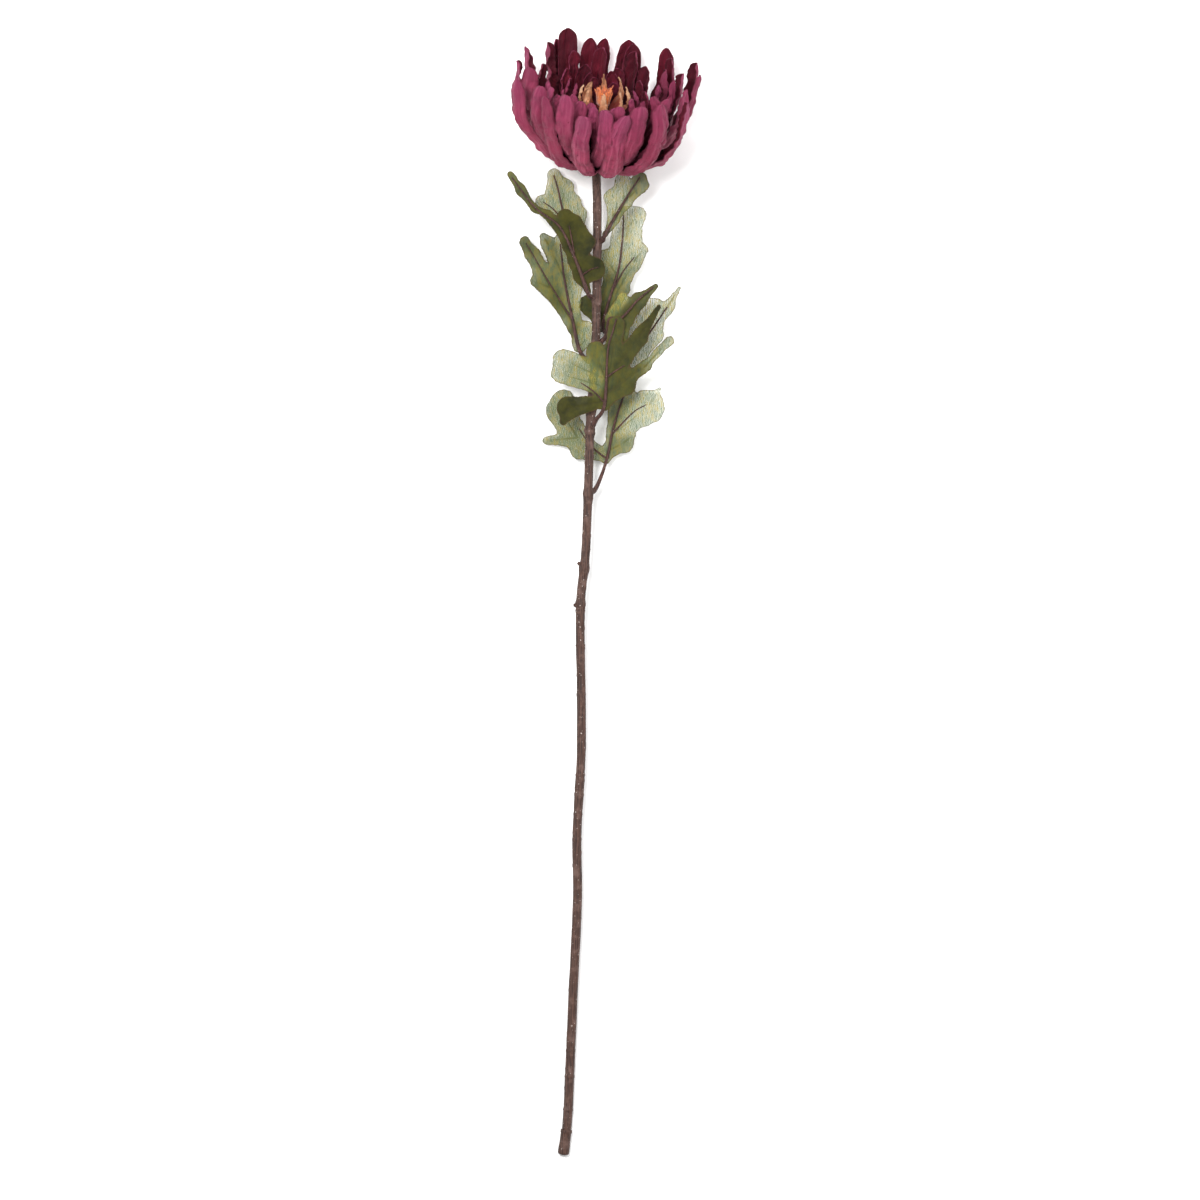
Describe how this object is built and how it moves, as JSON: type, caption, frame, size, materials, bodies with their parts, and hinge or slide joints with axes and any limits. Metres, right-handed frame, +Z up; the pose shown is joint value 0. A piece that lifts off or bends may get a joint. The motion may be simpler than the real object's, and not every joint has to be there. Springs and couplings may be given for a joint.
{
  "type": "artificial spider chrysanthemum stem",
  "caption": "Long cut stem with sheer lobed leaves and one deep bowl-shaped wine-red bloom of incurved petals, lying on its side.",
  "frame": {"origin": "on the table, under the middle of the whole piece as it lies", "axes": "+Y from the cut end to the flower, +Z up from the table, +X to the right seen from above"},
  "size_m": [0.1454, 0.85, 0.1385],
  "materials": {
    "stem": "matt brown moulded bark",
    "calyx": "matt olive",
    "petal": "formed fabric, wine red, darker inside",
    "centre_petal": "formed fabric, cream to tan",
    "tuft": "orange-brown fringe",
    "leaf": "sheer woven fabric, olive",
    "stalk": "matt brown rib"
  },
  "bodies": {
    "root": {"main_stem": "stem", "end_cap": "stem", "flower_post": "calyx", "calyx": "calyx", "petal_whorl_1": "petal", "petal_whorl_2": "petal", "petal_whorl_3": "petal", "petal_whorl_4": "petal", "petal_whorl_5": "petal", "petal_whorl_6": "petal", "centre_whorl": "centre_petal", "centre_tuft": "tuft", "leaf_1_blade": "leaf", "leaf_2_blade": "leaf", "leaf_3_blade": "leaf", "leaf_4_blade": "leaf", "leaf_5_blade": "leaf", "leaf_6_blade": "leaf", "leaf_7_blade": "leaf", "leaf_8_blade": "leaf", "leaf_9_blade": "leaf", "leaf_1_stalk": "stalk", "leaf_2_stalk": "stalk", "leaf_3_stalk": "stalk", "leaf_4_stalk": "stalk", "leaf_5_stalk": "stalk", "leaf_6_stalk": "stalk", "leaf_7_stalk": "stalk", "leaf_8_stalk": "stalk", "leaf_9_stalk": "stalk"}
  },
  "joints": []
}
